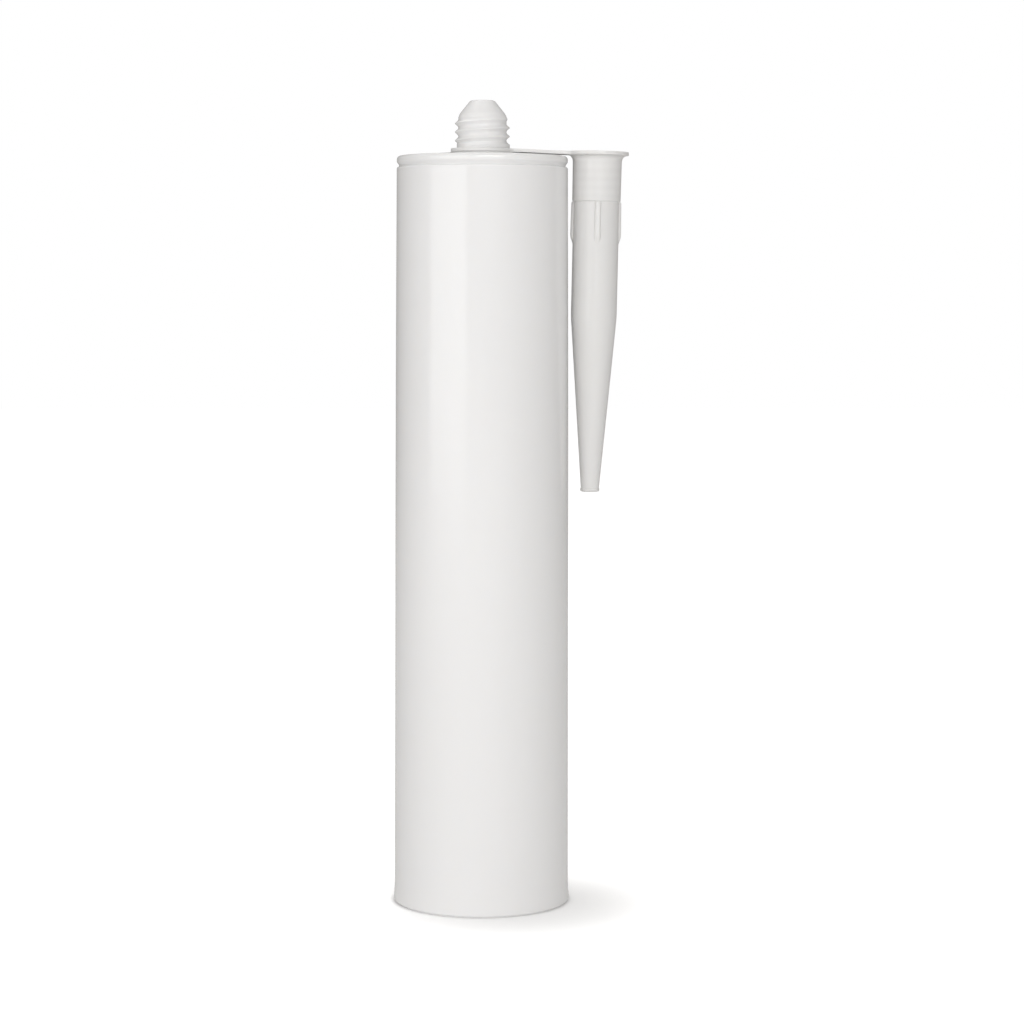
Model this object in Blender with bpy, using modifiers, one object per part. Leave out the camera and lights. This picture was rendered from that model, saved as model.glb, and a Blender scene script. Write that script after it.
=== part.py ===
"""A 310 ml sealant cartridge: tube, piston, filling, and a nozzle hung on a strap.

Units are metres and +Z is up. The tube stands on its open end. The origin is on the plane
that it stands on, in the middle of the part's footprint. The strap reaches out along +X.
"""
import math

import bmesh
import bpy
from mathutils import Matrix, Vector

MM = 0.001

# Clearances
TOUCH_GAP = 0.30 * MM  # air between pieces that lie against each other
RING_PLAY = 0.30 * MM  # between the strap's ring and the collar inside it
SIDE_GAP = 0.72 * MM  # between the hanging nozzle and the tube's side

# Tube
TUBE_RADIUS = 25.0 * MM  # outside, at the foot
TUBE_HEIGHT = 212.8 * MM  # foot to the top face of the rim
TUBE_WALL = 2.0 * MM  # at the foot
TUBE_DRAFT = 0.86 * MM  # lost on the radius between foot and rim
BORE_DRAFT = 0.25 * MM  # lost on the bore between foot and shoulder
FOOT_BEAD_HEIGHT = 1.8 * MM
FOOT_BEAD_PROUD = 0.22 * MM
FOOT_ROUND = 0.5 * MM
RIM_HEIGHT = 2.25 * MM
RIM_ROUND = 1.0 * MM
GROOVE_HEIGHT = 1.0 * MM
GROOVE_DEPTH = 0.65 * MM
GROOVE_ROUND = 0.3 * MM
SHOULDER_WALL = 2.0 * MM
SHOULDER_RISE = 0.9 * MM  # rim to the flat seat round the neck
SHOULDER_ROUND = 1.0 * MM  # in the corner under the rim

# Neck
NECK_RADIUS = 6.80 * MM  # at the thread's root
NECK_HEIGHT = 10.45 * MM  # seat to the foot of the cone
NECK_WALL = 1.3 * MM
COLLAR_HEIGHT = 2.6 * MM  # seat to the top of the collar, which the ring lies round
COLLAR_PROUD = 0.40 * MM
CONE_HEIGHT = 4.25 * MM  # the closed tip that is cut off before use
CONE_ROUND = 2.5 * MM
TIP_RADIUS = 3.4 * MM
TIP_ROUND = 0.7 * MM

# Thread on the neck, right-handed
THREAD_PITCH = 2.4 * MM
THREAD_DEPTH = 0.95 * MM
THREAD_BASE = 1.7 * MM  # width of the ridge at its root
THREAD_CREST = 0.30 * MM  # width of the flat on its crest
THREAD_START = 2.25 * MM  # crest above the seat, on the side that the strap leaves from
THREAD_TURNS = 3.0

# Ring, strap and flange, one flat plate
PLATE_THICKNESS = 0.88 * MM
RING_WIDTH = 1.40 * MM
STRAP_WIDTH = 7.5 * MM
STRAP_FILLET = 2.0 * MM
STRAP_BEND = 6.0 * MM  # length of the bent stretch beside the ring
FLANGE_OVERHANG = 1.90 * MM  # beyond the socket's outside

# Nozzle
NOZZLE_LENGTH = 96.6 * MM  # top of the flange to the tip
NOZZLE_WALL = 1.0 * MM
NOZZLE_LEAN = math.radians(1.04)  # the strap droops, so the tip leans to the tube
SOCKET_RADIUS = 6.95 * MM  # outside
SOCKET_LENGTH = 13.8 * MM
SOCKET_DRAFT = 0.10 * MM
SOCKET_FILLET = 1.3 * MM
FILLET_LAP = 0.05 * MM  # edge of the fillet under the flange
BARREL_RADIUS = 6.50 * MM
BARREL_END = 45.7 * MM  # where the taper starts, from the top of the flange
BORE_STEP = 0.45 * MM  # the thread's end stop at the bottom of the socket
NOZZLE_TIP_RADIUS = 2.60 * MM
NOZZLE_TIP_ROUND = 0.4 * MM
NOZZLE_TIP_LAND = 1.0 * MM  # straight end of the bore

# Grip ribs below the socket
RIB_COUNT = 4
RIB_WIDTH = 1.7 * MM
RIB_LENGTH = 10.1 * MM
RIB_RUNOUT = 2.0 * MM
RIB_DROP = 0.05 * MM  # from the socket's edge to the top of a rib
RIB_PROUD_TOP = 0.55 * MM
RIB_PROUD_END = 0.71 * MM

# Piston
PISTON_RECESS = 14.0 * MM  # foot of the tube to the piston's open edge
PISTON_LENGTH = 17.0 * MM
PISTON_WALL = 1.6 * MM
PISTON_NOSE_HEIGHT = 3.6 * MM
PISTON_NOSE_WIDTH = 4.4 * MM
LIP_HEIGHT = 2.6 * MM
LIP_PROUD = 0.8 * MM
LIP_ROUND = 0.4 * MM

# Fineness of the facets
TUBE_STEPS = 64
NOZZLE_STEPS = 40
THREAD_STEPS = 32
ARC_STEPS = 4
BEND_STEPS = 4
WELD = 0.001 * MM  # points nearer than this are one point

# Heights and radii that follow from the sizes above
SEAT_Z = TUBE_HEIGHT + SHOULDER_RISE
COLLAR_RADIUS = NECK_RADIUS + COLLAR_PROUD
RING_HOLE = COLLAR_RADIUS + RING_PLAY
RING_RADIUS = RING_HOLE + RING_WIDTH
SEAT_RADIUS = RING_RADIUS + RING_PLAY
PLATE_MIDDLE_Z = SEAT_Z + TOUCH_GAP + PLATE_THICKNESS / 2
FLANGE_RADIUS = SOCKET_RADIUS + FLANGE_OVERHANG
FOOT_RADIUS = TUBE_RADIUS + FOOT_BEAD_PROUD
BORE_RADIUS = TUBE_RADIUS - TUBE_WALL
TOP_BORE_RADIUS = BORE_RADIUS - BORE_DRAFT
CEILING_Z = TUBE_HEIGHT - SHOULDER_WALL
PISTON_FACE_Z = PISTON_RECESS + PISTON_LENGTH
BEND_START = RING_RADIUS


def tube_radius(height):
    """Outside radius of the tube's side, which narrows evenly to the rim."""
    return TUBE_RADIUS - TUBE_DRAFT * height / TUBE_HEIGHT


def nozzle_reach():
    """Distance from the tube's axis to the nozzle's, at the flange.

    The leaning nozzle clears the tube's side by SIDE_GAP where it comes nearest, which is
    at the end of its ribs or at the end of its barrel.
    """
    stations = [
        (SOCKET_LENGTH + RIB_LENGTH, BARREL_RADIUS + RIB_PROUD_END),
        (BARREL_END, BARREL_RADIUS),
        (SOCKET_LENGTH, SOCKET_RADIUS),
    ]
    return max(
        tube_radius(PLATE_MIDDLE_Z - depth) + SIDE_GAP + radius + depth * math.sin(NOZZLE_LEAN)
        for depth, radius in stations
    )


NOZZLE_REACH = nozzle_reach()
TUBE_X = (FOOT_RADIUS - NOZZLE_REACH - FLANGE_RADIUS) / 2


def clear_scene():
    for obj in list(bpy.data.objects):
        bpy.data.objects.remove(obj)


def new_collection(name):
    collection = bpy.data.collections.new(name)
    bpy.context.scene.collection.children.link(collection)
    return collection


def plastic(name, colour, roughness, clearness=0.0):
    """A Principled material: colour, gloss and how much light passes through."""
    material = bpy.data.materials.new(name)
    material.use_nodes = True
    shader = material.node_tree.nodes["Principled BSDF"]
    shader.inputs["Base Color"].default_value = (*colour, 1.0)
    shader.inputs["Metallic"].default_value = 0.0
    shader.inputs["Roughness"].default_value = roughness
    shader.inputs["Transmission Weight"].default_value = clearness
    return material


def arc(centre, radius, start, end, steps):
    """Points on a circle from one angle to another, both ends included."""
    turn = (end - start) / steps
    return [
        centre + radius * Vector((math.cos(start + turn * i), math.sin(start + turn * i)))
        for i in range(steps + 1)
    ]


def room_for_rounding(here, neighbour):
    """How far a rounding may reach along the edge to a neighbouring corner."""
    x, z, radius = neighbour
    share = 0.98 if radius == 0 else 0.49
    return share * (Vector((x, z)) - here).length


def rounded(corners):
    """Points of an open outline given as corners (x, z, rounding radius)."""
    points = []
    for i, (x, z, radius) in enumerate(corners):
        here = Vector((x, z))
        if radius == 0:
            points.append(here)
            continue
        back = Vector(corners[i - 1][:2]) - here
        on = Vector(corners[i + 1][:2]) - here
        half_angle = back.angle(on) / 2
        reach = min(
            radius / math.tan(half_angle),
            room_for_rounding(here, corners[i - 1]),
            room_for_rounding(here, corners[i + 1]),
        )
        fitted = reach * math.tan(half_angle)
        inwards = (back.normalized() + on.normalized()).normalized()
        centre = here + inwards * fitted / math.sin(half_angle)
        first = here + back.normalized() * reach - centre
        last = here + on.normalized() * reach - centre
        start = math.atan2(first.y, first.x)
        sweep = math.remainder(math.atan2(last.y, last.x) - start, 2 * math.pi)
        points += arc(centre, fitted, start, start + sweep, ARC_STEPS)
    return points


def place(obj, collection, axis, matrix=Matrix.Identity(4)):
    """Link an object and hang it on the tube's axis at the given place."""
    collection.objects.link(obj)
    obj.parent = axis
    obj.matrix_local = matrix
    return obj


def turned(name, corners, steps):
    """A solid of revolution about its own Z axis, from its half section.

    The section starts on the axis at the top, runs down the outside and ends on the axis.
    """
    points = rounded(corners)
    mesh = bpy.data.meshes.new(name)
    mesh.from_pydata(
        [(p.x, 0.0, p.y) for p in points], [(i, i + 1) for i in range(len(points) - 1)], []
    )
    obj = bpy.data.objects.new(name, mesh)
    screw = obj.modifiers.new("Turn", "SCREW")
    screw.steps = steps
    screw.render_steps = steps
    screw.use_merge_vertices = True
    screw.merge_threshold = WELD
    return obj


def weld(mesh):
    """Merge the points of a mesh that lie in the same place."""
    cage = bmesh.new()
    cage.from_mesh(mesh)
    bmesh.ops.remove_doubles(cage, verts=cage.verts, dist=WELD)
    cage.to_mesh(mesh)
    cage.free()


def flat_plate(name, outlines, thickness):
    """A mesh plate in the XY plane, from closed outlines; inner ones are holes."""
    curve = bpy.data.curves.new(name, "CURVE")
    curve.dimensions = "2D"
    curve.fill_mode = "BOTH"
    curve.extrude = thickness / 2
    for outline in outlines:
        spline = curve.splines.new("POLY")
        spline.points.add(len(outline) - 1)
        for point, place_2d in zip(spline.points, outline):
            point.co = (place_2d.x, place_2d.y, 0.0, 1.0)
        spline.use_cyclic_u = True
    drawn = bpy.data.objects.new(name, curve)
    bpy.context.scene.collection.objects.link(drawn)
    depsgraph = bpy.context.evaluated_depsgraph_get()
    mesh = bpy.data.meshes.new_from_object(drawn.evaluated_get(depsgraph))
    bpy.data.objects.remove(drawn)
    weld(mesh)
    return bpy.data.objects.new(name, mesh)


def combine(obj, operation, tools):
    """Join an object with its tools, or cut it with them, and leave the tools as guides."""
    for tool in tools:
        step = obj.modifiers.new(tool.name, "BOOLEAN")
        step.operation = operation
        step.solver = "EXACT"
        step.object = tool
        tool.hide_render = True
        tool.display_type = "WIRE"


def finish(obj, material):
    """Apply the modifiers, shade round surfaces smooth and give the piece its material."""
    bpy.context.view_layer.update()
    depsgraph = bpy.context.evaluated_depsgraph_get()
    mesh = bpy.data.meshes.new_from_object(obj.evaluated_get(depsgraph))
    mesh.name = obj.name
    weld(mesh)
    obj.modifiers.clear()
    obj.data = mesh
    mesh.materials.clear()
    mesh.materials.append(material)
    mesh.shade_smooth()
    mesh.set_sharp_from_angle(angle=math.radians(32))


def smooth_step(value, low, high):
    """0 below low, 1 above high, and an even S between them."""
    share = min(max((value - low) / (high - low), 0.0), 1.0)
    return share * share * (3 - 2 * share)


def thread_section(turn):
    """Corners (radius, height) of the ridge where it has wound by turn from its start.

    The ridge grows out of the collar half a turn early. Over that stretch it is filled
    down to the ring, which holds the ring on, and it fades out on the closed tip.
    """
    foot_z = PLATE_MIDDLE_Z + PLATE_THICKNESS / 2 + TOUCH_GAP
    crest_z = max(SEAT_Z + THREAD_START + THREAD_PITCH * turn, foot_z + THREAD_CREST)
    faded = smooth_step(turn, THREAD_TURNS - 0.4, THREAD_TURNS + 0.3)
    grown = smooth_step(turn, -0.45, -0.25) * (1 - faded)
    filled = 1 - smooth_step(turn, 0.05, 0.30)
    sunk = 0.15 * THREAD_DEPTH
    inside = NECK_RADIUS - NECK_WALL / 2
    crest = NECK_RADIUS - sunk + (THREAD_DEPTH + sunk) * grown
    low_root = (crest_z - THREAD_BASE / 2) * (1 - filled) + foot_z * filled
    low_crest = (crest_z - THREAD_CREST / 2) * (1 - filled) + foot_z * filled
    return [
        (inside, low_root),
        (crest, low_crest),
        (crest, crest_z + THREAD_CREST / 2),
        (inside, crest_z + THREAD_BASE / 2),
    ]


def thread_ridge():
    """The neck's thread: a loft through the ridge's changing section, wound up the neck."""
    cage = bmesh.new()
    first = -0.42
    last = THREAD_TURNS + 0.28
    count = round((last - first) * THREAD_STEPS)
    rings = []
    for i in range(count + 1):
        turn = first + (last - first) * i / count
        spin = Matrix.Rotation(2 * math.pi * turn, 3, "Z")
        rings.append([cage.verts.new(spin @ Vector((r, 0, z))) for r, z in thread_section(turn)])
    for below, above in zip(rings, rings[1:]):
        for k in range(4):
            cage.faces.new((below[k], below[k - 1], above[k - 1], above[k]))
    cage.faces.new(rings[0])
    cage.faces.new(reversed(rings[-1]))
    bmesh.ops.recalc_face_normals(cage, faces=cage.faces)
    mesh = bpy.data.meshes.new("neck_thread")
    cage.to_mesh(mesh)
    cage.free()
    return bpy.data.objects.new("neck_thread", mesh)


def make_cartridge_body(parts, tools, axis, material):
    """The tube, its shoulder and its closed neck: one moulding, open at the foot."""
    cone_foot_z = SEAT_Z + NECK_HEIGHT
    tip_z = cone_foot_z + CONE_HEIGHT
    rim_foot_z = TUBE_HEIGHT - RIM_HEIGHT
    groove_foot_z = rim_foot_z - GROOVE_HEIGHT
    rim_radius = tube_radius(TUBE_HEIGHT)
    groove_radius = rim_radius - GROOVE_DEPTH
    groove_slope = GROOVE_HEIGHT / 5
    neck_bore = NECK_RADIUS - NECK_WALL
    seat_ceiling_z = SEAT_Z - SHOULDER_WALL
    outside = [
        (0, tip_z, 0),
        (TIP_RADIUS, tip_z, TIP_ROUND),
        (NECK_RADIUS, cone_foot_z, CONE_ROUND),
        (NECK_RADIUS, SEAT_Z + COLLAR_HEIGHT + COLLAR_PROUD, 0),
        (COLLAR_RADIUS, SEAT_Z + COLLAR_HEIGHT, 0),
        (COLLAR_RADIUS, SEAT_Z, 0),
        (SEAT_RADIUS, SEAT_Z, 0),
        (rim_radius - 2 * RIM_ROUND, TUBE_HEIGHT, 0),
        (rim_radius, TUBE_HEIGHT, RIM_ROUND),
        (rim_radius, rim_foot_z, 0),
        (groove_radius, rim_foot_z - groove_slope, 0),
        (groove_radius, groove_foot_z + groove_slope, 0),
        (tube_radius(groove_foot_z), groove_foot_z, GROOVE_ROUND),
        (tube_radius(FOOT_BEAD_HEIGHT), FOOT_BEAD_HEIGHT, 0),
        (FOOT_RADIUS, FOOT_BEAD_HEIGHT - 2 * FOOT_BEAD_PROUD, 0),
        (FOOT_RADIUS, 0, FOOT_ROUND),
    ]
    inside = [
        (BORE_RADIUS + FOOT_ROUND / 2, 0, 0),
        (BORE_RADIUS, FOOT_ROUND, 0),
        (TOP_BORE_RADIUS, CEILING_Z, SHOULDER_ROUND),
        (neck_bore, seat_ceiling_z, 0),
        (neck_bore, cone_foot_z - NECK_WALL / 2, CONE_ROUND),
        (TIP_RADIUS - NECK_WALL / 2, tip_z - NECK_WALL, TIP_ROUND),
        (0, tip_z - NECK_WALL, 0),
    ]
    body = place(turned("cartridge_body", outside + inside, TUBE_STEPS), parts, axis)
    thread = place(thread_ridge(), tools, axis)
    combine(body, "UNION", [thread])
    finish(body, material)


def make_piston(parts, axis, material):
    """A moulded cup, open below, with two lips that wipe the bore."""
    radius = TOP_BORE_RADIUS - TOUCH_GAP
    waist = radius - LIP_PROUD
    nose = radius - PISTON_NOSE_WIDTH
    nose_foot_z = PISTON_LENGTH - PISTON_NOSE_HEIGHT
    floor_z = PISTON_LENGTH - PISTON_WALL
    skirt = waist - PISTON_WALL
    corners = [
        (0, PISTON_LENGTH, 0),
        (nose, PISTON_LENGTH, LIP_ROUND),
        (radius, nose_foot_z, LIP_ROUND),
        (radius, nose_foot_z - LIP_HEIGHT, 0),
        (waist, nose_foot_z - LIP_HEIGHT - LIP_PROUD, 0),
        (waist, LIP_HEIGHT + LIP_PROUD, 0),
        (radius, LIP_HEIGHT, 0),
        (radius, 0, LIP_ROUND),
        (skirt + LIP_ROUND, 0, 0),
        (skirt, floor_z - PISTON_NOSE_HEIGHT, LIP_ROUND),
        (nose - PISTON_WALL / 2, floor_z, LIP_ROUND),
        (0, floor_z, 0),
    ]
    at_rest = Matrix.Translation((0, 0, PISTON_RECESS))
    piston = place(turned("piston", corners, TUBE_STEPS), parts, axis, at_rest)
    finish(piston, material)


def make_sealant(parts, axis, material):
    """The filling, from the piston's nose to the closed tip of the neck."""
    radius = TOP_BORE_RADIUS - TOUCH_GAP
    plug = NECK_RADIUS - NECK_WALL - TOUCH_GAP
    plug_top_z = SEAT_Z + NECK_HEIGHT + CONE_HEIGHT - NECK_WALL - TOUCH_GAP
    tip = TIP_RADIUS - NECK_WALL / 2 - TOUCH_GAP
    nose = radius - PISTON_NOSE_WIDTH
    corners = [
        (0, plug_top_z, 0),
        (tip, plug_top_z, TIP_ROUND),
        (plug, SEAT_Z + NECK_HEIGHT - NECK_WALL / 2 - TOUCH_GAP, CONE_ROUND),
        (plug, SEAT_Z - SHOULDER_WALL - TOUCH_GAP, 0),
        (radius, CEILING_Z - TOUCH_GAP, SHOULDER_ROUND),
        (radius, PISTON_FACE_Z - PISTON_NOSE_HEIGHT + TOUCH_GAP, 0),
        (nose, PISTON_FACE_Z + TOUCH_GAP, 0),
        (0, PISTON_FACE_Z + TOUCH_GAP, 0),
    ]
    sealant = place(turned("sealant", corners, TUBE_STEPS), parts, axis)
    finish(sealant, material)


def bent(x, z):
    """Where a point of the straight plate goes when the strap droops beside the ring.

    x runs along the strap from the neck's axis and z is measured from mid-thickness.
    """
    if x <= BEND_START:
        return Vector((x, 0, PLATE_MIDDLE_Z + z))
    along = min(x - BEND_START, STRAP_BEND)
    angle = NOZZLE_LEAN * along / STRAP_BEND
    bend_radius = STRAP_BEND / NOZZLE_LEAN
    beyond = x - BEND_START - along
    return Vector(
        (
            BEND_START + (bend_radius + z) * math.sin(angle) + beyond * math.cos(angle),
            0,
            PLATE_MIDDLE_Z - bend_radius + (bend_radius + z) * math.cos(angle) - beyond * math.sin(angle),
        )
    )


def round_end(radius):
    """A disc that runs into the strap, from the strap's +Y edge round to its -Y edge."""
    half = STRAP_WIDTH / 2
    span = radius + STRAP_FILLET
    rise = half + STRAP_FILLET
    middle = Vector((math.sqrt(span**2 - rise**2), rise))
    lean = math.atan2(middle.y, middle.x)
    below = Vector((middle.x, -middle.y))
    quarter = math.pi / 2
    return (
        arc(middle, STRAP_FILLET, -quarter, lean - math.pi, ARC_STEPS)
        + arc(Vector((0, 0)), radius, lean, 2 * math.pi - lean, NOZZLE_STEPS)
        + arc(below, STRAP_FILLET, math.pi - lean, quarter, ARC_STEPS)
    )


def make_plate():
    """Ring, strap and flange as one flat plate, drooped to the nozzle's lean."""
    ring = round_end(RING_RADIUS)
    flange = [Vector((NOZZLE_REACH, 0)) - point for point in round_end(FLANGE_RADIUS)]
    stations = [BEND_START + STRAP_BEND * i / BEND_STEPS for i in range(1, BEND_STEPS + 1)]
    low_edge = [Vector((x, -STRAP_WIDTH / 2)) for x in stations]
    high_edge = [Vector((x, STRAP_WIDTH / 2)) for x in reversed(stations)]
    hole = arc(Vector((0, 0)), RING_HOLE, 0, 2 * math.pi, NOZZLE_STEPS)[:-1]
    plate = flat_plate("nozzle", [ring + low_edge + flange + high_edge, hole], PLATE_THICKNESS)
    for vertex in plate.data.vertices:
        moved = bent(vertex.co.x, vertex.co.z)
        vertex.co = (moved.x, vertex.co.y, moved.z)
    return plate


def make_rib(number):
    """One grip rib: a flat fin, rooted in the barrel's wall, that runs out below."""
    sunk = NOZZLE_WALL / 2
    top_z = -SOCKET_LENGTH - RIB_DROP
    end_z = -SOCKET_LENGTH - RIB_LENGTH
    runout_slope = RIB_RUNOUT / RIB_PROUD_END
    corners = [
        (BARREL_RADIUS - sunk, top_z, 0),
        (BARREL_RADIUS + RIB_PROUD_TOP, top_z, 0),
        (BARREL_RADIUS + RIB_PROUD_END, end_z, 0),
        (BARREL_RADIUS - sunk, end_z - runout_slope * (RIB_PROUD_END + sunk), 0),
    ]
    rib = flat_plate(f"rib_{number}", [rounded(corners)], RIB_WIDTH)
    upright = Matrix.Rotation(math.pi / 2, 4, "X")
    spin = Matrix.Rotation(2 * math.pi * number / RIB_COUNT, 4, "Z")
    return rib, spin @ upright


def make_nozzle(parts, tools, axis, material):
    """The nozzle, flange, strap and ring: one moulding that turns freely round the neck."""
    under = -PLATE_THICKNESS
    socket_end = SOCKET_RADIUS - SOCKET_DRAFT
    tip_bore = NOZZLE_TIP_RADIUS - NOZZLE_WALL
    barrel_bore = BARREL_RADIUS - NOZZLE_WALL
    step_end_z = -SOCKET_LENGTH - (socket_end - BARREL_RADIUS)
    outside = [
        (0, under / 2, 0),
        (SOCKET_RADIUS + SOCKET_FILLET, under / 2, 0),
        (SOCKET_RADIUS + SOCKET_FILLET, under - FILLET_LAP, 0),
        (SOCKET_RADIUS, under - FILLET_LAP, SOCKET_FILLET),
        (socket_end, -SOCKET_LENGTH, 0),
        (BARREL_RADIUS, step_end_z, 0),
        (BARREL_RADIUS, -BARREL_END, 0),
        (NOZZLE_TIP_RADIUS, -NOZZLE_LENGTH, NOZZLE_TIP_ROUND),
        (0, -NOZZLE_LENGTH, 0),
    ]
    above = PLATE_THICKNESS
    hollow = [
        (0, above, 0),
        (barrel_bore + BORE_STEP, above, 0),
        (barrel_bore + BORE_STEP, -SOCKET_LENGTH + BORE_STEP, 0),
        (barrel_bore, -SOCKET_LENGTH, 0),
        (barrel_bore, -BARREL_END, 0),
        (tip_bore, -NOZZLE_LENGTH + NOZZLE_TIP_LAND, 0),
        (tip_bore, -NOZZLE_LENGTH - above, 0),
        (0, -NOZZLE_LENGTH - above, 0),
    ]
    hang = Matrix.Translation(bent(NOZZLE_REACH, PLATE_THICKNESS / 2)) @ Matrix.Rotation(
        NOZZLE_LEAN, 4, "Y"
    )
    nozzle = place(make_plate(), parts, axis)
    barrel = place(turned("nozzle_outside", outside, NOZZLE_STEPS), tools, axis, hang)
    bore = place(turned("nozzle_hollow", hollow, NOZZLE_STEPS), tools, axis, hang)
    ribs = []
    for number in range(RIB_COUNT):
        rib, turn = make_rib(number)
        ribs.append(place(rib, tools, axis, hang @ turn))
    combine(nozzle, "UNION", [barrel] + ribs)
    combine(nozzle, "DIFFERENCE", [bore])
    finish(nozzle, material)


def main():
    clear_scene()
    parts = new_collection("Sealant cartridge")
    tools = new_collection("Shaping tools")
    axis = bpy.data.objects.new("tube_axis", None)
    axis.location = (TUBE_X, 0, 0)
    parts.objects.link(axis)
    white = plastic("white_moulding", (0.90, 0.90, 0.89), 0.30)
    natural = plastic("natural_moulding", (0.84, 0.84, 0.82), 0.38, 0.15)
    milky = plastic("piston_moulding", (0.80, 0.80, 0.77), 0.45, 0.1)
    paste = plastic("sealant_paste", (0.86, 0.86, 0.84), 0.55)
    make_cartridge_body(parts, tools, axis, white)
    make_piston(parts, axis, milky)
    make_sealant(parts, axis, paste)
    make_nozzle(parts, tools, axis, natural)


main()
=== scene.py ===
import math

import bpy
from mathutils import Matrix, Vector


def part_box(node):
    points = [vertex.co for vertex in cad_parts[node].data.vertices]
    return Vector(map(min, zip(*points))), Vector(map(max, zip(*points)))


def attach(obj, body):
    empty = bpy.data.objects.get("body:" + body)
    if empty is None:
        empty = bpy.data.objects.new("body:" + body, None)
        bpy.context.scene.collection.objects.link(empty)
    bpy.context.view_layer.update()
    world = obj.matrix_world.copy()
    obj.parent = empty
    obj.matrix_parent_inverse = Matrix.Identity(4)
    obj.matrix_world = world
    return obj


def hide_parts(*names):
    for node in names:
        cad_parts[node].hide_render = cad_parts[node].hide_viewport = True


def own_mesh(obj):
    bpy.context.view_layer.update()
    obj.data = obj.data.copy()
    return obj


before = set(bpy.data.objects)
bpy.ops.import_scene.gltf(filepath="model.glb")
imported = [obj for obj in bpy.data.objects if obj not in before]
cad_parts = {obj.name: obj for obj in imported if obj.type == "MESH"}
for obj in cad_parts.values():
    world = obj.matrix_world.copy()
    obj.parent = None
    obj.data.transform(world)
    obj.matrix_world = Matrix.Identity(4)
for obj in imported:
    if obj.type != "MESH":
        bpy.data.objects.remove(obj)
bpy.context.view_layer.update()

# The camera. A long lens stands in front of the tube, a little to its left and lower than the
# rim, and looks slightly down.
MM = 0.001
tube_low, tube_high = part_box("cartridge_body")
TUBE_X = (tube_low.x + tube_high.x) / 2
CAMERA_DISTANCE = 780.4 * MM
CAMERA_HEIGHT = 178.1 * MM
CAMERA_RIGHT = 8.45 * MM
CAMERA_ROUND = math.radians(2.5)
CAMERA_PITCH = math.radians(4.84)
CAMERA_ROLL = math.radians(0.13)
CAMERA_SENSOR = 36
CAMERA_LENS = 96.46
CAMERA_NEAR = 0.01
CAMERA_FAR = 20
camera = bpy.data.objects.new("camera", bpy.data.cameras.new("camera"))
bpy.context.scene.collection.objects.link(camera)
camera.data.sensor_width = CAMERA_SENSOR
camera.data.lens = CAMERA_LENS
camera.data.clip_start = CAMERA_NEAR
camera.data.clip_end = CAMERA_FAR
camera_round = Matrix.Rotation(-CAMERA_ROUND, 3, "Z")
camera.location = camera_round @ Vector((CAMERA_RIGHT, -CAMERA_DISTANCE, 0))
camera.location += Vector((TUBE_X, 0, CAMERA_HEIGHT))
camera.rotation_euler = (math.pi / 2 - CAMERA_PITCH, -CAMERA_ROLL, -CAMERA_ROUND)
bpy.context.scene.camera = camera
bpy.context.scene.view_settings.view_transform = "Standard"

# The studio. A softbox stands on the floor to the left, a second one hangs high in front, a weak
# third one above and behind, and a pale room gives the rest. The camera sees the room as white,
# and the floor too, apart from painted shade round the tube: there the floor's glow is weaker,
# most to the right and in front where the tube's real shadow falls, and it is off in a thin ring
# round the foot, a painted dark contact line.
ROOM_LIGHT = (0.297, 0.288, 0.277, 1)
WHITE = (1, 1, 1, 1)
KEY_SIZE = (1.95, 1.00)
KEY_WATTS = 10.9
KEY_PLACE = (-1.50, -1.33, 0.50)
KEY_AIM = (TUBE_X, 0, 0.50)
FILL_SIZE = (1.70, 0.90)
FILL_WATTS = 34.5
FILL_PLACE = (0.40, -2.60, 1.05)
TOP_SIZE = (1.20, 1.20)
TOP_WATTS = 5.5
TOP_PLACE = (-0.05, 0.50, 1.35)
TUBE_MIDDLE = (TUBE_X, 0, 0.12)
FLOOR_SIZE = 6.0
FLOOR_COLOUR = (0.91, 0.91, 0.91, 1)
FLOOR_ROUGHNESS = 0.9
# Painted shade on the floor: the glow that only the camera sees is weak near a point just right
# of and in front of the tube, so that the floor darkens there round its real shadow, and it grows
# white further out.
GLOW_NEAR = 0.215
GLOW_FAR = 0.75
PAINTED_SHADE_REACH = (0.016, 0.066)
PAINTED_SHADE_MIDDLE = (TUBE_X + 0.009, -0.006, 0)
# Painted contact shadow: the floor's glow is off under the foot and in a thin ring round it.
FOOT_MIDDLE = (TUBE_X, 0, 0)
FOOT_SHADE = (0.0249, 0.0263)


def soft_light(name, size, watts, place, aim):
    """A soft light of a width and height that points from its place to the aim."""
    bpy.ops.object.light_add(type="AREA", location=place)
    light = bpy.context.object
    light.name = name
    light.data.shape = "RECTANGLE"
    light.data.size, light.data.size_y = size
    light.data.energy = watts
    light.rotation_euler = (Vector(aim) - Vector(place)).to_track_quat("-Z", "Y").to_euler()


def new_material(name):
    """A node material, its node tree and its Principled shader."""
    material = bpy.data.materials.new(name)
    material.use_nodes = True
    tree = material.node_tree
    return material, tree, tree.nodes["Principled BSDF"]


soft_light("key_light", KEY_SIZE, KEY_WATTS, KEY_PLACE, KEY_AIM)
soft_light("fill_light", FILL_SIZE, FILL_WATTS, FILL_PLACE, TUBE_MIDDLE)
soft_light("top_light", TOP_SIZE, TOP_WATTS, TOP_PLACE, TUBE_MIDDLE)

world = bpy.data.worlds.new("room")
bpy.context.scene.world = world
world.use_nodes = True
room = world.node_tree
room_rays = room.nodes.new("ShaderNodeLightPath")
room_colour = room.nodes.new("ShaderNodeMix")
room_colour.data_type = "RGBA"
room_colour.inputs["A"].default_value = ROOM_LIGHT
room_colour.inputs["B"].default_value = WHITE
room.links.new(room_rays.outputs["Is Camera Ray"], room_colour.inputs["Factor"])
room.links.new(room_colour.outputs["Result"], room.nodes["Background"].inputs["Color"])

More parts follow.
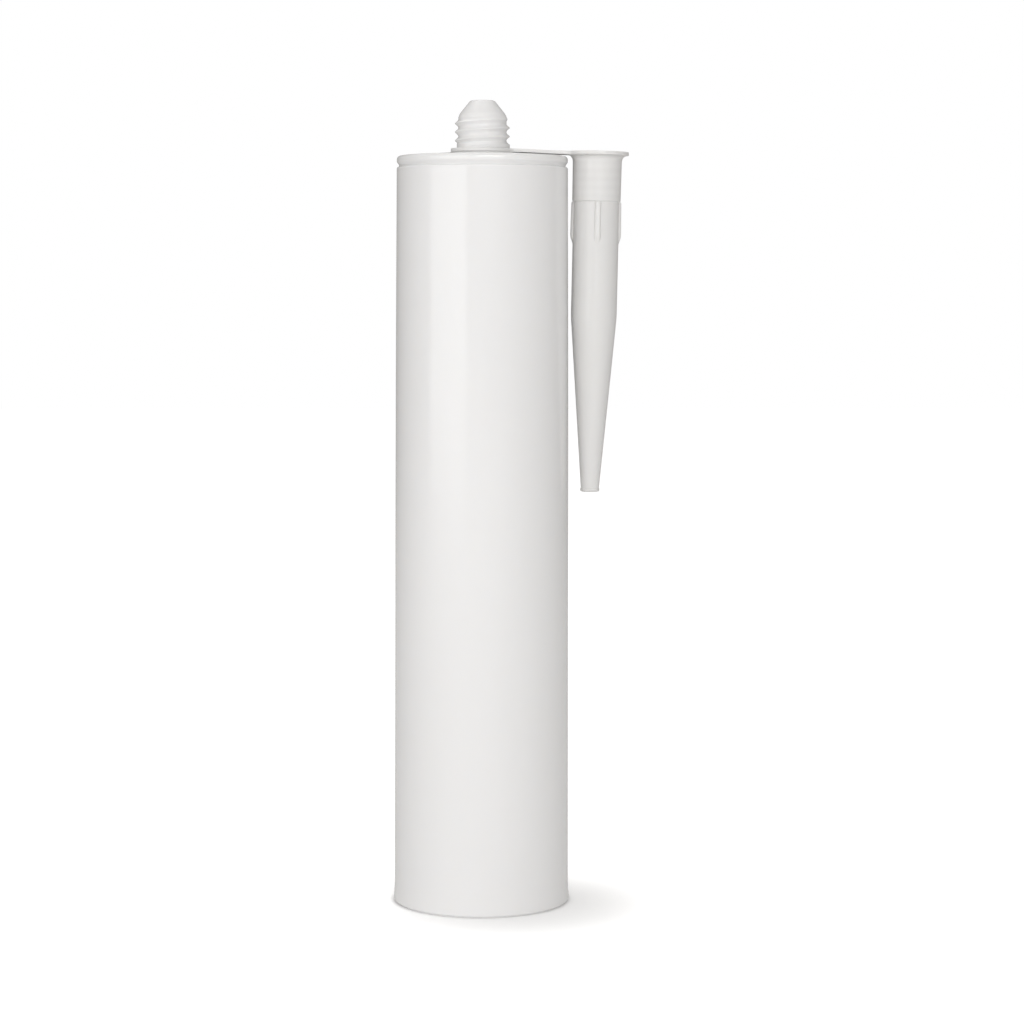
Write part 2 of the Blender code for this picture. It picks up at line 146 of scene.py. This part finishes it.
bpy.ops.mesh.primitive_plane_add(size=FLOOR_SIZE)
floor = bpy.context.object
floor.name = "floor"
floor_material, floor_tree, floor_shader = new_material("floor_paper")
floor_shader.inputs["Base Color"].default_value = FLOOR_COLOUR
floor_shader.inputs["Roughness"].default_value = FLOOR_ROUGHNESS
floor_shader.inputs["Specular IOR Level"].default_value = 0.0
floor_shader.inputs["Emission Color"].default_value = WHITE
floor_rays = floor_tree.nodes.new("ShaderNodeLightPath")
floor_place = floor_tree.nodes.new("ShaderNodeTexCoord")
# The painted shade round the tube: the glow grows with the distance from that point beside it.
floor_reach = floor_tree.nodes.new("ShaderNodeVectorMath")
floor_reach.operation = "DISTANCE"
floor_reach.inputs[1].default_value = PAINTED_SHADE_MIDDLE
floor_glow_and_painted_shade = floor_tree.nodes.new("ShaderNodeMapRange")
floor_glow_and_painted_shade.interpolation_type = "SMOOTHSTEP"
floor_glow_and_painted_shade.inputs["From Min"].default_value = PAINTED_SHADE_REACH[0]
floor_glow_and_painted_shade.inputs["From Max"].default_value = PAINTED_SHADE_REACH[1]
floor_glow_and_painted_shade.inputs["To Min"].default_value = GLOW_NEAR
floor_glow_and_painted_shade.inputs["To Max"].default_value = GLOW_FAR
# The painted contact shadow: no glow under the foot, and a thin ring round it that fades in.
floor_foot = floor_tree.nodes.new("ShaderNodeVectorMath")
floor_foot.operation = "DISTANCE"
floor_foot.inputs[1].default_value = FOOT_MIDDLE
foot_painted_shade = floor_tree.nodes.new("ShaderNodeMapRange")
foot_painted_shade.inputs["From Min"].default_value = FOOT_SHADE[0]
foot_painted_shade.inputs["From Max"].default_value = FOOT_SHADE[1]
floor_seen = floor_tree.nodes.new("ShaderNodeMath")
floor_seen.operation = "MULTIPLY"
floor_glow_with_painted_shade = floor_tree.nodes.new("ShaderNodeMath")
floor_glow_with_painted_shade.operation = "MULTIPLY"
for start, end in (
    (floor_place.outputs["Object"], floor_reach.inputs[0]),
    (floor_reach.outputs["Value"], floor_glow_and_painted_shade.inputs["Value"]),
    (floor_glow_and_painted_shade.outputs["Result"], floor_seen.inputs[0]),
    (floor_rays.outputs["Is Camera Ray"], floor_seen.inputs[1]),
    (floor_place.outputs["Object"], floor_foot.inputs[0]),
    (floor_foot.outputs["Value"], foot_painted_shade.inputs["Value"]),
    (floor_seen.outputs["Value"], floor_glow_with_painted_shade.inputs[0]),
    (foot_painted_shade.outputs["Result"], floor_glow_with_painted_shade.inputs[1]),
    (floor_glow_with_painted_shade.outputs["Value"], floor_shader.inputs["Emission Strength"]),
):
    floor_tree.links.new(start, end)
floor.data.materials.append(floor_material)

# The cartridge. One white HDPE moulding: a long tube that is open at the foot, with a rim, a
# closed shoulder and a threaded neck. The neck's closed dome is cut off before use.
NECK_STEPS = 192
SEAT_Z = 213.70 * MM
TUBE_RINGS = [
    (3.40, 228.40), (6.80, 224.15), (6.80, 216.70), (7.20, 216.30), (7.20, 213.87),
    (9.20, 213.87), (9.50, 213.69), (22.14, 212.80), (24.14, 212.80), (24.14, 211.05),
    (23.62, 210.40), (23.50, 210.10), (23.50, 209.80), (24.153, 209.55), (24.433, 160.0),
    (24.697, 106.0), (24.835, 54.0), (24.98, 5.00), (25.19, 1.80), (25.22, 0.55), (24.60, 0.0),
    (23.35, 0.0), (23.00, 0.50), (22.75, 210.80), (5.50, 211.70), (5.50, 223.50), (2.75, 227.10),
]
TUBE_ROUNDINGS = [
    (3.40, 228.40, 0.55), (6.80, 224.15, 0.90), (24.14, 212.80, 1.00), (24.14, 211.05, 0.28),
    (24.153, 209.55, 0.30), (24.98, 5.00, 1.20), (25.19, 1.80, 0.60), (25.22, 0.55, 0.20),
    (22.75, 210.80, 1.00),
]
ROUNDING_STEPS = 4
SAME_PLACE = 0.001 * MM
NEAR_RING = 0.02 * MM
CRISP_ANGLE = math.radians(38)
THREAD_STEPS = 96
THREAD_PITCH = 2.40 * MM
THREAD_START_Z = SEAT_Z + 2.25 * MM
THREAD_FIRST = -0.42
THREAD_TURNS = 3.70
THREAD_GROWS = (-0.45, -0.25)
THREAD_RUNS_OUT = (2.62, 3.27)
THREAD_UNFILLED = (0.05, 0.30)
THREAD_FOOT_Z = 214.98 * MM
THREAD_LOWEST_Z = THREAD_FOOT_Z + 0.3 * MM
THREAD_ROOT = 6.60 * MM
THREAD_SECTION = [
    (6.55, -1.10), (6.79, -1.10), (6.87, -0.90), (7.03, -0.68), (7.33, -0.42), (7.61, -0.20),
    (7.74, -0.07), (7.74, 0.07), (7.61, 0.20), (7.33, 0.42), (7.03, 0.68), (6.87, 0.90),
    (6.79, 1.10), (6.55, 1.10),
]
CLEARNESS = 0.30
CLEAR_TINT = (1.0, 0.95, 0.88)
CLEAR_DEPTH = 1.5 * MM
FLOW_SCALE = (60, 60, 9)
FLOW_DETAIL = 4.0
FLOW_SHADE = 0.975
GLOSSIER = 0.03
DULLER = 0.04
SKIN_DETAIL = 3.0
SKIN_STRENGTH = 0.25


def face_outwards():
    """Turns all faces of the shape in edit mode outwards, and leaves edit mode."""
    bpy.ops.mesh.select_all(action="SELECT")
    bpy.ops.mesh.normals_make_consistent(inside=False)
    bpy.ops.object.mode_set(mode="OBJECT")


def turned(name, rings, steps, axis_x, through=False):
    """A closed turned solid: a circle is extruded and scaled from ring to ring, in mm."""
    bpy.ops.object.select_all(action="DESELECT")
    radius, height = rings[0]
    bpy.ops.mesh.primitive_circle_add(
        vertices=steps, radius=radius * MM, location=(axis_x, 0, height * MM)
    )
    piece = bpy.context.object
    piece.name = name
    bpy.ops.object.transform_apply()
    bpy.ops.object.mode_set(mode="EDIT")
    bpy.ops.mesh.select_all(action="SELECT")
    for next_radius, next_height in rings[1:] + rings[:1] * through:
        growth = next_radius / radius
        rise = (next_height - height) * MM
        bpy.ops.mesh.extrude_edges_move(TRANSFORM_OT_translate={"value": (0, 0, rise)})
        bpy.ops.transform.resize(value=(growth, growth, 1), center_override=(axis_x, 0, 0))
        radius, height = next_radius, next_height
    bpy.ops.mesh.select_all(action="SELECT")
    bpy.ops.mesh.remove_doubles(threshold=SAME_PLACE)
    bpy.ops.mesh.fill_holes(sides=0)
    face_outwards()
    return piece


def round_rings(piece, axis_x, roundings):
    """Bevels the turned edges at the given (radius, height, width) places, in mm."""
    for radius, height, width in roundings:
        bpy.ops.object.mode_set(mode="EDIT")
        bpy.ops.mesh.select_mode(type="EDGE")
        bpy.ops.mesh.select_all(action="DESELECT")
        bpy.ops.object.mode_set(mode="OBJECT")
        on_ring = [
            abs(math.hypot(v.co.x - axis_x, v.co.y) - radius * MM) < NEAR_RING
            and abs(v.co.z - height * MM) < NEAR_RING
            for v in piece.data.vertices
        ]
        for edge in piece.data.edges:
            edge.select = on_ring[edge.vertices[0]] and on_ring[edge.vertices[1]]
        bpy.ops.object.mode_set(mode="EDIT")
        bpy.ops.mesh.bevel(
            offset=width * MM, segments=ROUNDING_STEPS, affect="EDGES", clamp_overlap=True
        )
        bpy.ops.object.mode_set(mode="OBJECT")


def join_solid(piece, tool):
    """Joins a tool's solid to a piece and removes the tool."""
    bpy.ops.object.select_all(action="DESELECT")
    bpy.context.view_layer.objects.active = piece
    step = piece.modifiers.new("join", "BOOLEAN")
    step.operation = "UNION"
    step.solver = "EXACT"
    step.object = tool
    bpy.ops.object.modifier_apply(modifier="join")
    bpy.data.objects.remove(tool)


def finish_piece(piece, material, node, body):
    """Smooth shading with crisp edges and the material; then the CAD part hides and the piece
    hangs on its body.
    """
    bpy.ops.object.select_all(action="DESELECT")
    piece.select_set(True)
    bpy.context.view_layer.objects.active = piece
    bpy.ops.object.shade_smooth_by_angle(angle=CRISP_ANGLE)
    piece.modifiers.new("even", "WEIGHTED_NORMAL").keep_sharp = True
    bpy.ops.object.modifier_apply(modifier="even")
    piece.data.materials.clear()
    piece.data.materials.append(material)
    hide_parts(node)
    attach(piece, body)


def fade(value, low, high):
    """0 below low, 1 above high, and an even S between them."""
    share = min(max((value - low) / (high - low), 0.0), 1.0)
    return share * share * (3 - 2 * share)


def moulded(name, colour, roughness, grain, depth):
    """Moulded plastic: faint cloudy flow in the colour, uneven gloss and a very fine skin."""
    material, tree, shader = new_material(name)
    shader.inputs["Subsurface Weight"].default_value = CLEARNESS
    shader.inputs["Subsurface Radius"].default_value = CLEAR_TINT
    shader.inputs["Subsurface Scale"].default_value = CLEAR_DEPTH
    place = tree.nodes.new("ShaderNodeTexCoord")
    flow_place = tree.nodes.new("ShaderNodeMapping")
    flow_place.inputs["Scale"].default_value = FLOW_SCALE
    flow = tree.nodes.new("ShaderNodeTexNoise")
    flow.inputs["Scale"].default_value = 1.0
    flow.inputs["Detail"].default_value = FLOW_DETAIL
    tint = tree.nodes.new("ShaderNodeMix")
    tint.data_type = "RGBA"
    tint.inputs["A"].default_value = (*[FLOW_SHADE * part for part in colour], 1)
    tint.inputs["B"].default_value = (*colour, 1)
    gloss = tree.nodes.new("ShaderNodeMapRange")
    gloss.inputs["To Min"].default_value = roughness - GLOSSIER
    gloss.inputs["To Max"].default_value = roughness + DULLER
    skin = tree.nodes.new("ShaderNodeTexNoise")
    skin.inputs["Scale"].default_value = grain
    skin.inputs["Detail"].default_value = SKIN_DETAIL
    bump = tree.nodes.new("ShaderNodeBump")
    bump.inputs["Strength"].default_value = SKIN_STRENGTH
    bump.inputs["Distance"].default_value = depth
    for start, end in (
        (place.outputs["Object"], flow_place.inputs["Vector"]),
        (flow_place.outputs["Vector"], flow.inputs["Vector"]),
        (flow.outputs["Fac"], tint.inputs["Factor"]),
        (tint.outputs["Result"], shader.inputs["Base Color"]),
        (flow.outputs["Fac"], gloss.inputs["Value"]),
        (gloss.outputs["Result"], shader.inputs["Roughness"]),
        (place.outputs["Object"], skin.inputs["Vector"]),
        (skin.outputs["Fac"], bump.inputs["Height"]),
        (bump.outputs["Normal"], shader.inputs["Normal"]),
    ):
        tree.links.new(start, end)
    return material


cartridge = turned("tube_and_neck", TUBE_RINGS, NECK_STEPS, TUBE_X)
round_rings(cartridge, TUBE_X, TUBE_ROUNDINGS)

# The neck's thread: its section is wound round the axis, and each turn then gets its height and
# its reach, with a filled start at the seat and a run-out under the dome.
bpy.ops.object.select_all(action="DESELECT")
bpy.ops.mesh.primitive_circle_add(vertices=len(THREAD_SECTION), location=(TUBE_X, 0, 0))
thread = bpy.context.object
for vertex, (radius, height) in zip(thread.data.vertices, THREAD_SECTION):
    vertex.co = (radius * MM, 0, height * MM)
wind = thread.modifiers.new("wind", "SCREW")
wind.angle = 2 * math.pi * THREAD_TURNS
wind.screw_offset = THREAD_PITCH * THREAD_TURNS
wind.steps = round(THREAD_STEPS * THREAD_TURNS)
wind.render_steps = wind.steps
bpy.ops.object.modifier_apply(modifier="wind")
bpy.ops.object.mode_set(mode="EDIT")
bpy.ops.mesh.select_all(action="SELECT")
bpy.ops.mesh.fill_holes(sides=0)
bpy.ops.mesh.select_all(action="SELECT")
bpy.ops.transform.rotate(
    value=-2 * math.pi * THREAD_FIRST, orient_axis="Z", center_override=(TUBE_X, 0, 0)
)
bpy.ops.object.mode_set(mode="OBJECT")
for vertex in thread.data.vertices:
    turn = THREAD_FIRST + vertex.index // len(THREAD_SECTION) / THREAD_STEPS
    crest_z = max(THREAD_START_Z + THREAD_PITCH * turn, THREAD_LOWEST_Z)
    across = vertex.co.z - THREAD_PITCH * (turn - THREAD_FIRST)
    radius = vertex.co.xy.length
    grown = fade(turn, *THREAD_GROWS) * (1 - fade(turn, *THREAD_RUNS_OUT))
    reach = 1 + (grown - 1) * max(radius - THREAD_ROOT, 0) / radius
    filled = 1 - fade(turn, *THREAD_UNFILLED)
    foot = THREAD_FOOT_Z if across < 0 else crest_z + across
    vertex.co = (
        vertex.co.x * reach,
        vertex.co.y * reach,
        (crest_z + across) * (1 - filled) + foot * filled,
    )
bpy.ops.object.transform_apply()
bpy.ops.object.mode_set(mode="EDIT")
face_outwards()
join_solid(cartridge, thread)
white = moulded(
    "white_hdpe", colour=(0.862, 0.858, 0.857), roughness=0.16, grain=2600, depth=0.006 * MM
)
finish_piece(cartridge, white, "cartridge_body", "cartridge")

# The sealant. Soft white paste that fills the tube from the piston's nose to the closed tip,
# and that the piston presses out as it rises.
SEALANT_STEPS = 128
SEALANT_RINGS = [
    (2.45, 226.80), (5.20, 223.20), (5.20, 211.40), (22.45, 210.50), (22.45, 27.70),
    (18.05, 31.30),
]
SEALANT_ROUNDINGS = [(22.45, 210.50, 0.80), (5.20, 223.20, 0.60)]
sealant = turned("paste_filling", SEALANT_RINGS, SEALANT_STEPS, TUBE_X)
round_rings(sealant, TUBE_X, SEALANT_ROUNDINGS)
paste = moulded(
    "sealant_paste_white", colour=(0.84, 0.84, 0.82), roughness=0.50, grain=900, depth=0.06 * MM
)
finish_piece(sealant, paste, "sealant", "cartridge")
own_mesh(sealant)

# The piston. A milky moulded cup, open below, whose two lips wipe the bore. It is pushed in
# behind the filling, and the gun's plunger seats on the flat floor of its hollow.
PISTON_STEPS = 128
PISTON_RINGS = [
    (18.05, 31.00), (22.45, 27.40), (22.45, 24.80), (21.65, 24.00), (21.65, 17.40),
    (22.45, 16.60), (22.45, 14.00), (20.45, 14.00), (20.05, 14.40), (20.05, 25.80),
    (17.25, 29.40),
]
PISTON_ROUNDINGS = [
    (18.05, 31.00, 0.40), (22.45, 27.40, 0.35), (22.45, 24.80, 0.15), (21.65, 24.00, 0.35),
    (21.65, 17.40, 0.35), (22.45, 16.60, 0.15), (22.45, 14.00, 0.30), (20.05, 25.80, 0.40),
    (17.25, 29.40, 0.40),
]
piston = turned("piston_cup", PISTON_RINGS, PISTON_STEPS, TUBE_X)
round_rings(piston, TUBE_X, PISTON_ROUNDINGS)
milky = moulded(
    "milky_ldpe", colour=(0.78, 0.78, 0.75), roughness=0.42, grain=1500, depth=0.02 * MM
)
finish_piece(piston, milky, "piston", "piston")

# The nozzle. One moulding in natural, slightly clear plastic: the ring that lies round the
# neck, the flat strap, and the tapered nozzle with its flange, threaded socket and grip ribs.
PLATE_TOP = 214.90
PLATE_FOOT = 213.93
NOZZLE_REACH = 32.594
NOZZLE_X = TUBE_X + NOZZLE_REACH * MM
NOZZLE_LEAN = math.radians(1.04)
NOZZLE_STEPS = 128
NOZZLE_RINGS = [
    (6.15, 0.0), (8.85, 0.0), (8.85, -0.97), (6.95, -0.97), (6.85, -13.80), (6.50, -14.12),
    (6.50, -46.60), (2.60, -95.30), (2.75, -95.48), (2.75, -96.00), (2.55, -96.37),
    (1.60, -96.37), (1.60, -95.40), (5.50, -45.70), (5.50, -13.80), (5.95, -13.35),
]
NOZZLE_ROUNDINGS = [
    (8.85, 0.0, 0.14), (8.85, -0.97, 0.14), (6.95, -0.97, 1.70), (6.85, -13.80, 0.10),
    (6.50, -46.60, 1.50), (2.55, -96.37, 0.35),
]
SOCKET_RADIUS = 5.95
SOCKET_LIP = (SOCKET_RADIUS, -0.25)
SOCKET_THREAD_RINGS = [(SOCKET_RADIUS, 0.0), (6.35, 0.8), (6.35, 1.1), (SOCKET_RADIUS, 1.9)]
SOCKET_THREAD_PLACES = (-12.4, -10.0, -7.6, -5.2, -2.8)
RING_BORE = 7.27
RING_RADIUS = 8.90
FLANGE_RADIUS = 8.85
RING_RINGS = [
    (RING_BORE, PLATE_TOP), (RING_RADIUS, PLATE_TOP), (RING_RADIUS, PLATE_FOOT),
    (RING_BORE, PLATE_FOOT),
]
RING_ROUNDINGS = [(RING_RADIUS, PLATE_TOP, 0.14), (RING_RADIUS, PLATE_FOOT, 0.14)]
STRAP_HALF = 3.75
STRAP_FILLET = 2.0
STRAP_STEP = 0.01
FILLET_STEPS = 8
RING_TILT = math.radians(0.30)
STRAP_SLOPE = math.radians(2.80)
BEND_PLACES = (9.5, 10.5, 11.5, 12.5, 13.5)
UNBEND_PLACES = (19.0, 20.0, 21.0, 22.0, 23.0)
PAST_BEND = 0.05 * MM
ON_BEND = 0.02 * MM
RIB_COUNT = 4
RIB_WIDTH = 1.85
RIB_ROOT = 5.60
RIB_BURIED = 0.3
RIB_TOP = -13.85
RIB_LENGTH = 10.05
RIB_EDGE_TOP = 7.05
RIB_EDGE_END = 7.21
RIB_RUNOUT = 2.6
RIB_EDGE_RUNOUT = 6.30
RIB_ROUND = 0.66
BAND_FIRST_Z = 200.9 * MM
BAND_NEXT_Z = 203.3 * MM
BANDS_FROM_Z = (200.6 * MM, 202.0 * MM)
PAINTED_BAND_DARKNESS = 0.012
BAND_SHADE = 0.985


def from_plate(rings):
    """The same places, whose heights are measured from the top of the plate."""
    return [(ring[0], ring[1] + PLATE_TOP, *ring[2:]) for ring in rings]


def strap_end(radius):
    """The strap's (distance, half width) from a round end's middle, where its fillets run out."""
    middle = math.sqrt((radius + STRAP_FILLET) ** 2 - (STRAP_HALF + STRAP_FILLET) ** 2)
    first = middle * radius / (radius + STRAP_FILLET)
    places = []
    for i in range(FILLET_STEPS + 1):
        away = (middle - first) * (1 - i / FILLET_STEPS)
        half = STRAP_HALF + STRAP_FILLET - math.sqrt(STRAP_FILLET**2 - away**2)
        places.append((middle - away, half))
    return places


socket_thread = []
for foot in SOCKET_THREAD_PLACES:
    socket_thread += [(radius, foot + height) for radius, height in SOCKET_THREAD_RINGS]
nozzle_rings = from_plate(NOZZLE_RINGS + socket_thread + [SOCKET_LIP])
nozzle = turned("nozzle_and_strap", nozzle_rings, NOZZLE_STEPS, NOZZLE_X, through=True)
round_rings(nozzle, NOZZLE_X, from_plate(NOZZLE_ROUNDINGS))
ring = turned("strap_ring", RING_RINGS, NOZZLE_STEPS, TUBE_X, through=True)
round_rings(ring, TUBE_X, RING_ROUNDINGS)
join_solid(nozzle, ring)

# The strap: one flat bar, drawn out from fillet to fillet and joined to the ring and the flange.
strap_places = strap_end(RING_RADIUS)
strap_places += [(NOZZLE_REACH - x, half) for x, half in reversed(strap_end(FLANGE_RADIUS))]
strap_x, strap_half = strap_places[0]
plate_middle = (PLATE_TOP + PLATE_FOOT) / 2
bpy.ops.object.select_all(action="DESELECT")
bpy.ops.mesh.primitive_plane_add(size=2 * MM, rotation=(0, math.pi / 2, 0))
strap = bpy.context.object
bpy.ops.object.transform_apply()
bpy.ops.object.mode_set(mode="EDIT")
bpy.ops.mesh.select_all(action="SELECT")
bpy.ops.transform.resize(value=(1, strap_half, (PLATE_TOP - PLATE_FOOT) / 2 - STRAP_STEP))
bpy.ops.transform.translate(value=(TUBE_X + strap_x * MM, 0, plate_middle * MM))
for next_x, next_half in strap_places[1:]:
    bpy.ops.mesh.extrude_region_move(
        TRANSFORM_OT_translate={"value": ((next_x - strap_x) * MM, 0, 0)}
    )
    bpy.ops.transform.resize(
        value=(1, next_half / strap_half, 1), center_override=(0, 0, plate_middle * MM)
    )
    strap_x, strap_half = next_x, next_half
face_outwards()
join_solid(nozzle, strap)

# The grip ribs: one is drawn down from under the socket, rounded and copied round the barrel.
bpy.ops.object.select_all(action="DESELECT")
bpy.ops.mesh.primitive_plane_add(size=MM)
rib = bpy.context.object
bpy.ops.object.mode_set(mode="EDIT")
bpy.ops.mesh.select_all(action="SELECT")
bpy.ops.transform.resize(value=(RIB_EDGE_TOP - RIB_ROOT, RIB_WIDTH, 1))
bpy.ops.transform.translate(
    value=((RIB_ROOT + RIB_EDGE_TOP) / 2 * MM, 0, (PLATE_TOP + RIB_TOP) * MM)
)
reach = RIB_EDGE_TOP - RIB_ROOT
for drop, edge in ((RIB_LENGTH, RIB_EDGE_END), (RIB_RUNOUT, RIB_EDGE_RUNOUT)):
    bpy.ops.mesh.extrude_region_move(TRANSFORM_OT_translate={"value": (0, 0, -drop * MM)})
    bpy.ops.transform.resize(
        value=((edge - RIB_ROOT) / reach, 1, 1), center_override=(RIB_ROOT * MM, 0, 0)
    )
    reach = edge - RIB_ROOT
face_outwards()
bpy.ops.object.mode_set(mode="EDIT")
bpy.ops.mesh.select_mode(type="EDGE")
bpy.ops.mesh.select_all(action="DESELECT")
bpy.ops.object.mode_set(mode="OBJECT")
for edge in rib.data.edges:
    ends = [rib.data.vertices[i].co.x for i in edge.vertices]
    edge.select = min(ends) > (RIB_ROOT + RIB_BURIED) * MM
bpy.ops.object.mode_set(mode="EDIT")
bpy.ops.mesh.bevel(offset=RIB_ROUND * MM, segments=ROUNDING_STEPS, affect="EDGES")
bpy.ops.object.mode_set(mode="OBJECT")
for number in range(RIB_COUNT):
    fin = rib.copy()
    fin.data = rib.data.copy()
    fin.data.transform(Matrix.Rotation(2 * math.pi * number / RIB_COUNT, 4, "Z"))
    fin.data.transform(Matrix.Translation((NOZZLE_X, 0, 0)))
    bpy.context.scene.collection.objects.link(fin)
    join_solid(nozzle, fin)
bpy.data.objects.remove(rib)

# The bends: the ring lies a little tilted, and the strap dips beside it and levels out again
# before the flange, so that the nozzle hangs with its lean. Each bend turns all that is past it
# about the strap's upper face.
bpy.ops.object.select_all(action="DESELECT")
nozzle.select_set(True)
bpy.context.view_layer.objects.active = nozzle
bpy.ops.object.mode_set(mode="EDIT")
bpy.ops.mesh.select_all(action="SELECT")
bpy.ops.transform.rotate(
    value=-RING_TILT, orient_axis="Y", center_override=(TUBE_X, 0, plate_middle * MM)
)
bpy.ops.object.mode_set(mode="OBJECT")
bends = [(place, (STRAP_SLOPE - RING_TILT) / len(BEND_PLACES)) for place in BEND_PLACES]
bends += [(place, (NOZZLE_LEAN - STRAP_SLOPE) / len(UNBEND_PLACES)) for place in UNBEND_PLACES]
for place, turn in bends:
    bend_x = TUBE_X + place * MM
    bpy.ops.object.mode_set(mode="EDIT")
    bpy.ops.mesh.select_mode(type="VERT")
    bpy.ops.mesh.select_all(action="SELECT")
    bpy.ops.mesh.bisect(plane_co=(bend_x, 0, 0), plane_no=(1, 0, 0))
    bpy.ops.mesh.select_all(action="DESELECT")
    bpy.ops.object.mode_set(mode="OBJECT")
    for vertex in nozzle.data.vertices:
        vertex.select = vertex.co.x > bend_x + PAST_BEND
    on_bend = [v.co.z for v in nozzle.data.vertices if abs(v.co.x - bend_x) < ON_BEND]
    bpy.ops.object.mode_set(mode="EDIT")
    bpy.ops.transform.rotate(
        value=-turn, orient_axis="Y", center_override=(bend_x, 0, max(on_bend))
    )
    bpy.ops.object.mode_set(mode="OBJECT")

# The plastic, with painted shade: faint darker level bands are painted into its colour where the
# socket's inner thread lies, that thread's shade as seen through the clear wall.
natural = moulded(
    "natural_pe", colour=(0.806, 0.800, 0.790), roughness=0.28, grain=2200, depth=0.012 * MM
)
natural_tree = natural.node_tree
natural_shader = natural_tree.nodes["Principled BSDF"]
flow_colour = natural_shader.inputs["Base Color"].links[0].from_socket
band_place = natural_tree.nodes.new("ShaderNodeTexCoord")
band_height = natural_tree.nodes.new("ShaderNodeSeparateXYZ")
wave = natural_tree.nodes.new("ShaderNodeMapRange")
wave.inputs["From Min"].default_value = BAND_FIRST_Z
wave.inputs["From Max"].default_value = BAND_NEXT_Z
wave.inputs["To Max"].default_value = 2 * math.pi
wave.clamp = False
band = natural_tree.nodes.new("ShaderNodeMath")
band.operation = "SINE"
above = natural_tree.nodes.new("ShaderNodeMapRange")
above.interpolation_type = "SMOOTHSTEP"
above.inputs["From Min"].default_value = BANDS_FROM_Z[0]
above.inputs["From Max"].default_value = BANDS_FROM_Z[1]
above.inputs["To Max"].default_value = PAINTED_BAND_DARKNESS
painted_band_darkness = natural_tree.nodes.new("ShaderNodeMath")
painted_band_darkness.operation = "MULTIPLY"
shade = natural_tree.nodes.new("ShaderNodeMath")
shade.operation = "SUBTRACT"
shade.inputs[0].default_value = BAND_SHADE
# The colour, darkened in the painted shade bands.
colour_with_painted_bands = natural_tree.nodes.new("ShaderNodeVectorMath")
colour_with_painted_bands.operation = "SCALE"
for start, end in (
    (band_place.outputs["Object"], band_height.inputs["Vector"]),
    (band_height.outputs["Z"], wave.inputs["Value"]),
    (band_height.outputs["Z"], above.inputs["Value"]),
    (wave.outputs["Result"], band.inputs[0]),
    (band.outputs["Value"], painted_band_darkness.inputs[0]),
    (above.outputs["Result"], painted_band_darkness.inputs[1]),
    (painted_band_darkness.outputs["Value"], shade.inputs[1]),
    (flow_colour, colour_with_painted_bands.inputs["Vector"]),
    (shade.outputs["Value"], colour_with_painted_bands.inputs["Scale"]),
    (colour_with_painted_bands.outputs["Vector"], natural_shader.inputs["Base Color"]),
):
    natural_tree.links.new(start, end)
finish_piece(nozzle, natural, "nozzle", "nozzle")
